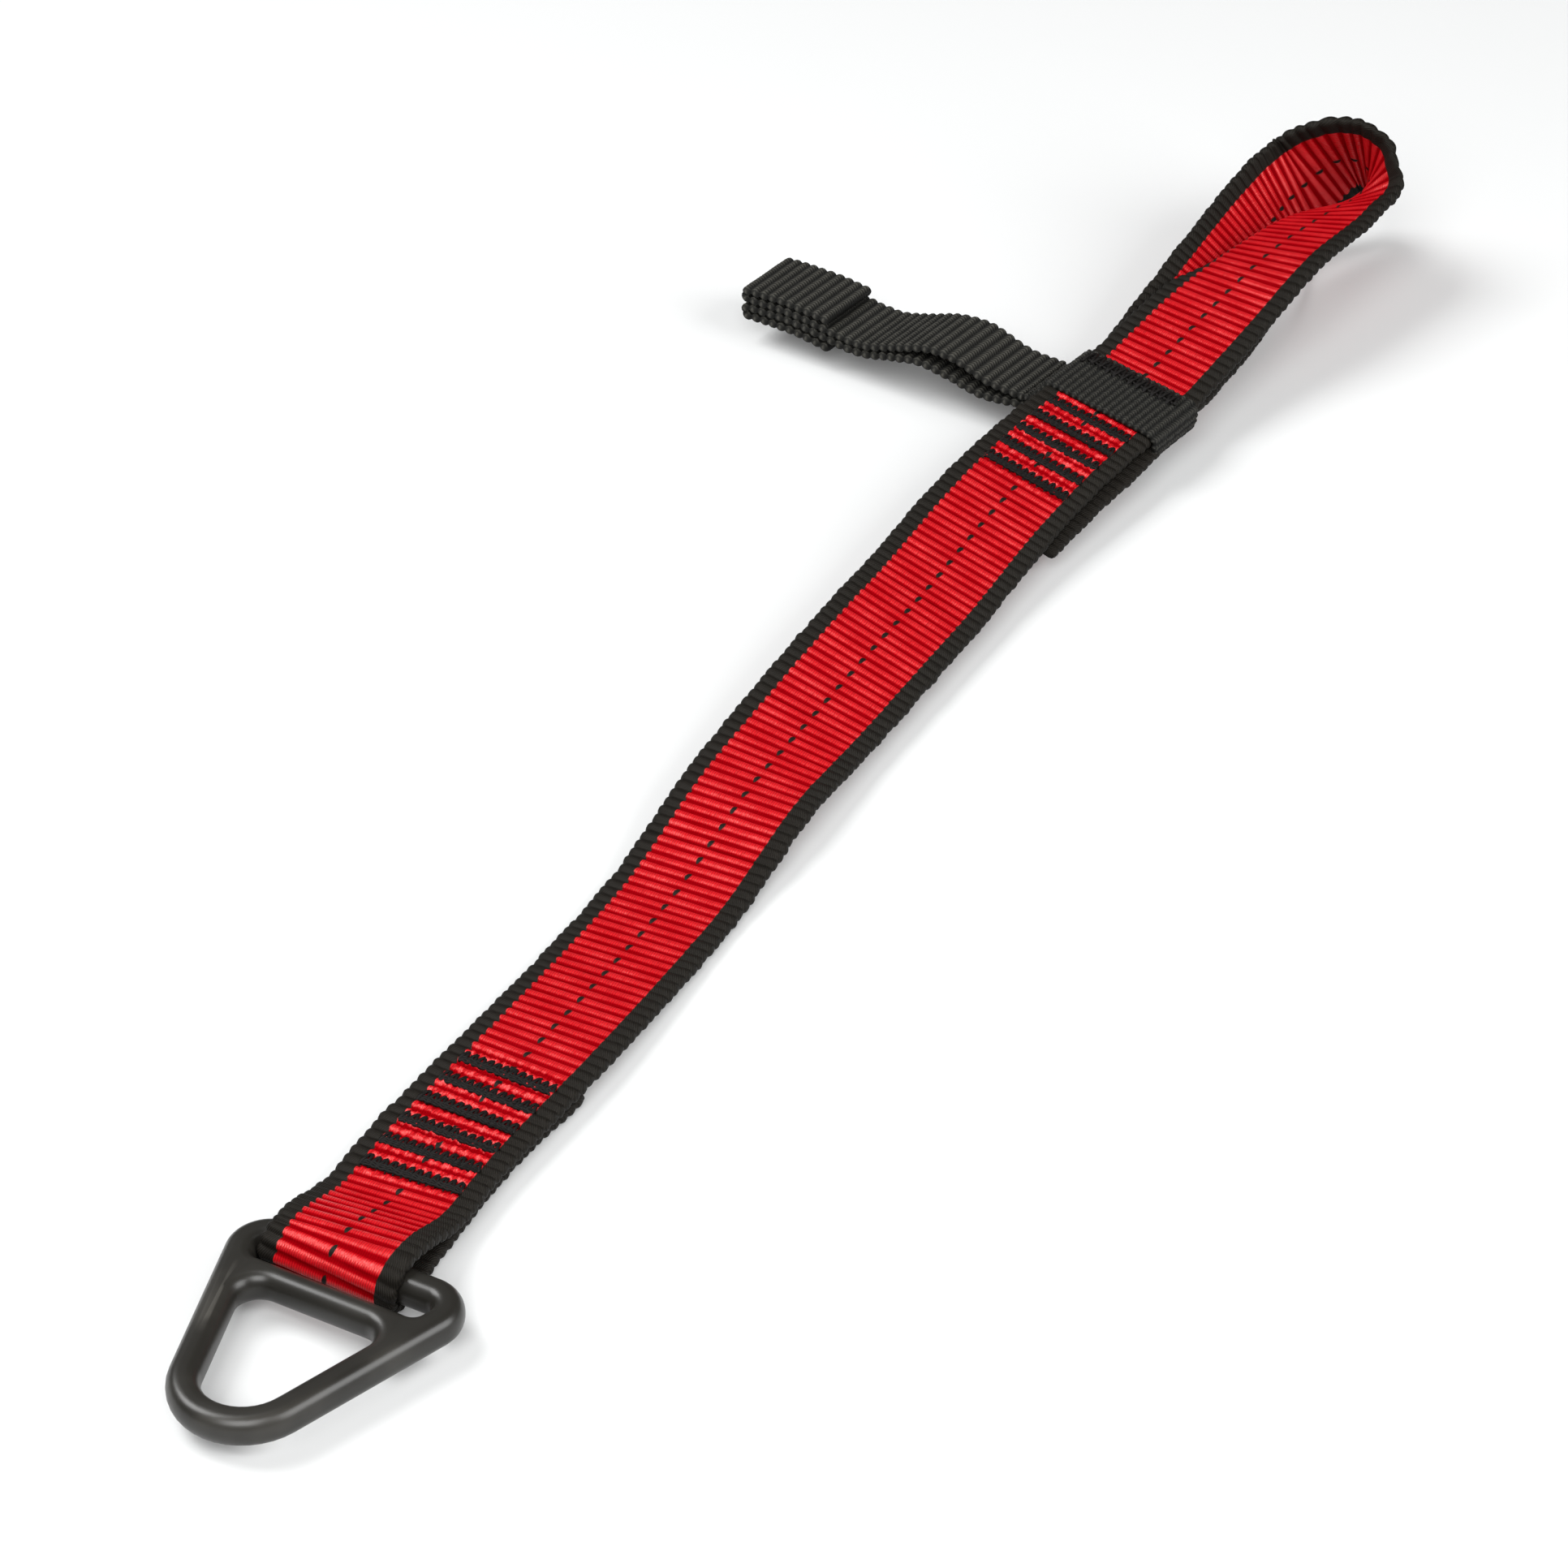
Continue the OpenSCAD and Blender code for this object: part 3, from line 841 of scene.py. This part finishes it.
# How the lower tape hangs away from the upper: how far, where from the root, over what reach
LOWER_BOW = (2.8, 16, 10)


def tail_height(left):
    """Height of the middle of the tail at a distance left of the strap's middle."""
    return flow(TAIL_WAVE, np.asarray(left - ROOT, float))


def wrap_path():
    """Middle of the tape from the root, over the strap and beneath it to the root."""
    half = LAYERS_HALF + TIGHT["thick"] / 2
    right = WEB_HALF + TAPE_GAP + TIGHT["thick"] / 2
    root_z = float(tail_height(ROOT))
    corner = 1.8
    turns = np.radians(np.linspace(90, 0, 8))
    over = [(-WEB_HALF + 0.5, half - 0.25), (-WEB_HALF + 3, half)]
    over += [(x, half) for x in np.linspace(-WEB_HALF + 5, right - corner - 1, 10)]
    over += [(right - corner + corner * math.cos(a), half - corner + corner * math.sin(a))
             for a in turns]
    path = [(ROOT, root_z + TAPE_NEAR), (ROOT - 1.6, root_z + TAPE_NEAR + 0.1)]
    path += [on_strap(x, up) for x, up in over]
    path += [on_strap(x, -up) for x, up in reversed(over)]
    path += [(ROOT - 1.6, root_z - TAPE_NEAR - 0.1), (ROOT, root_z - TAPE_NEAR)]
    return np.array(path)


def tail_path(side):
    """Middle of one of the tail's tapes: from its cut end in the hem, round the fold at
    the far end and back to the root. side is 1 for the upper tape and -1 for the lower."""
    far = TAPE_NEAR + LOOSE["thick"] + HEM_GAP
    end = ROOT + TAIL_LENGTH
    hem = np.linspace(end - HEM, end, 30)
    hem_lift = far + 0.25 * smoothstep(8, 0, hem - hem[0])     # its cut end stands up a little
    run = np.linspace(end, ROOT, 90)
    bow, bow_at, bow_reach = LOWER_BOW
    run_lift = TAPE_NEAR + bow * np.exp(-((run - ROOT - bow_at) / bow_reach) ** 2) * (side < 0)
    fold = np.radians(np.linspace(90, -90, 14)[1:-1])
    middle = (TAPE_NEAR + far) / 2
    reach = (far - TAPE_NEAR) / 2
    fold_left = end + 1.15 * reach * np.cos(fold)
    fold_lift = middle + reach * np.sin(fold)
    left = np.concatenate([hem, fold_left, run])
    level = tail_height(np.minimum(left, end))
    lift = np.concatenate([hem_lift, fold_lift, run_lift])
    return np.stack([left, level + side * lift], 1)


def tape_piece(name, path, state, material):
    """Tape along a path of (left, height), loose or tight, its ribs lying across it."""
    s = distance_along(path)
    step = state["rib"] / state["samples"]
    at = np.arange(int(s[-1] / step) + 1) * step
    flat = np.stack([np.interp(at, s, path[:, k]) for k in range(2)], 1)
    flat = blurred(flat, 0.45 / step)
    centre = np.array([keeper_point(left, z, 0.0) for left, z in flat])
    along = unit(np.gradient(centre, axis=0))
    width = np.tile(keeper_along, (len(at), 1))
    face = np.cross(width, along)
    nominal, share = band_section(TAPE_HALF, 0.7, 30)
    phase = at[:, None] / state["rib"]
    u = nominal[None, :] + 0 * phase
    wander = sum(size * np.sin(a * u + b * phase) for size, a, b in state["wander"])
    swell = np.abs(np.sin(np.pi * (phase + wander))) ** 0.7
    cords = 0.5 + 0.5 * np.sin(2 * np.pi * u / 1.05 + 1.5 * np.abs(phase % 1 - 0.5) * 4)
    half = state["thick"] / 2 - state["depth"] * (1 - swell) + 0.09 * cords * swell
    at_edge = smoothstep(5.5, 7.5, np.abs(u))
    jitter = random_draws.normal(0, 0.08, int(phase[-1, 0]) + 3)
    uneven = np.interp(phase - 0.5, np.arange(len(jitter)), jitter)
    edge = at_edge * state["scallop"] * (swell - 0.6) + at_edge * uneven
    rows = band_points(centre, width, face, u + np.sign(u) * edge, share[None, :] * half)
    uv = np.stack([u, at[:, None] + 0 * u], -1).reshape(-1, 2)
    return add_piece(name, rows.reshape(-1, 3), closed_band(rows), uv, material)


wrap = tape_piece("keeper_tape_wrap", wrap_path(), TIGHT, wrap_material)
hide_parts("keeper_wrap")
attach(wrap, "eye_end")
swing_end = KEEPER_SWING - np.array([TAIL_BEND, 0, 0])
for name, node, side in (("keeper_tape_upper", "keeper_tail_upper", 1),
                         ("keeper_tape_lower", "keeper_tail_lower", -1)):
    tail = tape_piece(name, tail_path(side), LOOSE, tape_material)
    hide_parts(node)
    tuple(place(KEEPER_SWING))
    tuple(place(swing_end))
    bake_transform(tail)


def keeper_stitching():
    """Rough bar tack through the keeper and the strap, near the wrap's edge by the eye."""
    half = LAYERS_HALF + TIGHT["thick"]
    from_middle = 4.6
    half_l = 10.5
    stitches = 12

    def above(x, off, lift):
        left, z = on_strap(x, half + lift)
        return keeper_point(left, z, from_middle + off)

    def beneath(x, off, lift):
        left, z = on_strap(x, -half - lift)
        return keeper_point(left, z, from_middle + off)

    paths = [zigzag(above, half_l, 2.0, stitches, 0.2),
             zigzag(beneath, half_l, 1.5, stitches, -0.1)]
    for off in (-0.9, 0.0, 0.8):
        paths.append(laid_thread(above, half_l - 0.3, off, 0.05))
    piece = add_threads("keeper_tack_thread", paths)
    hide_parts("keeper_tack")
    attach(piece, "eye_end")


keeper_stitching()


# ---- Ring --------------------------------------------------------------------------

RING_THICK = 5.5
LIMB = 5.3               # width of a side limb
LEAN = math.radians(18)  # of a side limb from the ring's middle line
APEX_Y = -30.4           # centre of the apex's curve, from the round bar
APEX_R = 9.5             # to the middle of the limb
CORNER_R = 4.45          # to the middle of the limb
BAR_R = 2.65
SLOT = 4.5               # opening for the webbing, between the round bar and the crossbar
SLOT_R = 1.5             # at the slot's two corners by the crossbar
CROSSBAR = 4.7           # width
FILLET_R = 3.4           # in the large hole, below the crossbar
RING_SHIFT = 2.1         # the ring has slid this far to the right along its bar
RING_TURN = math.radians(-2.2)   # and turned a little about the upright
ROUND = 2.2              # how far the rounding of the edges reaches in
BAR_Z = joint_mm("ring_pivot")[2]


def beside_limb(reach, y, radius):
    """How far right a circle at y lies when it touches a side limb's line. The line also
    touches the circle round the apex's centre whose radius is reach."""
    return (reach - radius + (y - APEX_Y) * math.sin(LEAN)) / math.cos(LEAN)


def hull_outline(circles, steps=16):
    """Outline round circles (x, y, r) given anticlockwise, as points."""
    count = len(circles)
    normals = []
    for k in range(count):
        (x0, y0, r0), (x1, y1, r1) = circles[k], circles[(k + 1) % count]
        d = math.hypot(x1 - x0, y1 - y0)
        normals.append(math.atan2(y1 - y0, x1 - x0) - math.acos((r0 - r1) / d))
    points = []
    for k, (x, y, r) in enumerate(circles):
        a0, a1 = normals[k - 1], normals[k]
        sweep = (a1 - a0) % (2 * math.pi)
        for i in range(steps + 1):
            a = a0 + sweep * i / steps
            points.append((x + r * math.cos(a), y + r * math.sin(a)))
    return points


def both_sides(*circles):
    """Circles given upwards on the right, then their mirror images down the left."""
    return list(circles) + [(-x, y, r) for x, y, r in reversed(circles)]


def ring_outlines(inset):
    """Outer edge and both holes of the ring, each moved into the metal by inset."""
    half = LIMB / 2
    corner_y = -CORNER_R
    corner_x = beside_limb(APEX_R, corner_y, CORNER_R)
    hole_y = -(BAR_R + SLOT + CROSSBAR) - FILLET_R
    hole_x = beside_limb(APEX_R - half, hole_y, FILLET_R)
    slot_y = -(BAR_R + SLOT) + SLOT_R
    slot_x = beside_limb(APEX_R - half, slot_y, SLOT_R)
    outer = [(0, APEX_Y, APEX_R + half - inset)]
    outer += both_sides((corner_x, corner_y, CORNER_R + half - inset))
    hole = [(0, APEX_Y, APEX_R - half + inset)]
    hole += both_sides((hole_x, hole_y, FILLET_R + inset))
    slot = both_sides((slot_x, slot_y, SLOT_R + inset),
                      (corner_x, corner_y, CORNER_R - half + inset))
    return [hull_outline(outer), hull_outline(hole), hull_outline(slot)]


def ring_point(x, y, z):
    """Point of the ring where it lies on the table, slid and turned."""
    c, s = math.cos(RING_TURN), math.sin(RING_TURN)
    return (x * c - y * s + RING_SHIFT, x * s + y * c, z)


def build_ring():
    """Plate with rounded edges: loops of each outline stepped inwards and upwards."""
    half_t = RING_THICK / 2
    steps = 9
    turns = [math.pi / 2 * k / steps for k in range(steps + 1)]
    levels = [(ROUND * (1 - math.cos(a) ** 0.9), half_t * math.sin(a) ** 0.95) for a in turns]
    levels = [(inset, -z) for inset, z in reversed(levels[1:])] + levels
    points, faces, loops = [], [], []
    for inset, z in levels:
        loops.append([])
        for outline in ring_outlines(inset):
            loops[-1].append(range(len(points), len(points) + len(outline)))
            points += [ring_point(x, y, BAR_Z + z) for x, y in outline]
    for low, high in zip(loops, loops[1:]):
        for k, (a, b) in enumerate(zip(low, high)):
            n = len(a)
            for i in range(n):
                j = (i + 1) % n
                face = (a[i], a[j], b[j], b[i])
                faces.append(face if k == 0 else face[::-1])
    for level, flip in ((loops[0], True), (loops[-1], False)):
        outlines = [[Vector((points[i][0], points[i][1], 0)) for i in loop] for loop in level]
        flat_index = [i for loop in level for i in loop]
        for tri in tessellate_polygon(outlines):
            face = [flat_index[i] for i in tri]
            a, b, c = (Vector(points[i]) for i in face)
            upward = (b - a).cross(c - a).z > 0
            faces.append(face if upward != flip else face[::-1])
    uv = [(x, y) for x, y, z in points]
    ring = add_piece("triangular_ring", points, faces, uv, ring_material)
    weighted = ring.modifiers.new("flat_faces_rule", "WEIGHTED_NORMAL")
    weighted.weight = 80
    weighted.keep_sharp = False
    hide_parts("ring")
    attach(ring, "ring")


build_ring()


# ---- Table, light and camera -------------------------------------------------------

# In the strap's millimetres, with the camera's own level directions
CAMERA_AT = (338.6, -505.6, 518.9)
LOOK_AT = (-3.4, 151.8, 0.0)
RIGHT = np.array([0.887, 0.462, 0.0])
AWAY = np.array([-0.462, 0.887, 0.0])
TABLE_HALF = 6.0         # metres
TABLE_GAP = 0.00005      # metres between the table and the lowest point


def metres(point):
    return Vector(place(point))


def make_floor():
    """Pale paper table, white where the lamps reach it, as a backdrop. Its faint glow is painted
    light, which lightens the shadows on it and the undersides above it.
    """
    half = TABLE_HALF
    mesh = bpy.data.meshes.new("table")
    corners = [(-half, -half), (half, -half), (half, half), (-half, half)]
    mesh.from_pydata([(x, y, TABLE - TABLE_GAP) for x, y in corners], [], [(0, 1, 2, 3)])
    n = Shader("table_paper")
    # The grey leans a little towards cyan, which offsets the red light bounced into the table's
    # shadows.
    n.surface.inputs["Base Color"].default_value = (0.50, 0.505, 0.505, 1)
    n.surface.inputs["Roughness"].default_value = 0.9
    n.surface.inputs["Specular IOR Level"].default_value = 0.1
    # Painted light: the table glows faintly, lightening its shadows.
    n.surface.inputs["Emission Color"].default_value = (1, 1, 1, 1)
    n.surface.inputs["Emission Strength"].default_value = 0.08
    mesh.materials.append(n.material)
    floor = bpy.data.objects.new("table", mesh)
    bpy.context.scene.collection.objects.link(floor)


def area_light(name, right, away, up, size, power):
    """Square lamp placed by the camera's own directions from the strap's middle, in mm."""
    middle = np.array(LOOK_AT)
    at = metres(middle + RIGHT * right + AWAY * away + np.array([0, 0, up]))
    data = bpy.data.lights.new(name, "AREA")
    data.size = size
    data.energy = power
    lamp = bpy.data.objects.new(name, data)
    lamp.location = at
    lamp.rotation_mode = "QUATERNION"
    lamp.rotation_quaternion = (metres(middle) - at).to_track_quat("-Z", "Y")
    bpy.context.scene.collection.objects.link(lamp)


def make_world(strength):
    world = bpy.data.worlds.new("studio")
    bpy.context.scene.world = world
    world.use_nodes = True
    background = world.node_tree.nodes["Background"]
    background.inputs["Color"].default_value = (1, 1, 1, 1)
    background.inputs["Strength"].default_value = strength


def make_camera():
    data = bpy.data.cameras.new("camera")
    data.lens = 118
    data.sensor_width = 36
    camera = bpy.data.objects.new("camera", data)
    camera.location = metres(CAMERA_AT)
    camera.rotation_mode = "QUATERNION"
    camera.rotation_quaternion = (metres(LOOK_AT) - camera.location).to_track_quat("-Z", "Y")
    bpy.context.scene.collection.objects.link(camera)
    bpy.context.scene.camera = camera


make_floor()
area_light("key", -750, 250, 1050, 0.75, 20)
area_light("front", -150, -900, 900, 0.8, 18)
area_light("side", 800, -400, 550, 0.7, 12)
make_world(0.12)
make_camera()
bpy.context.scene.view_settings.view_transform = "Standard"
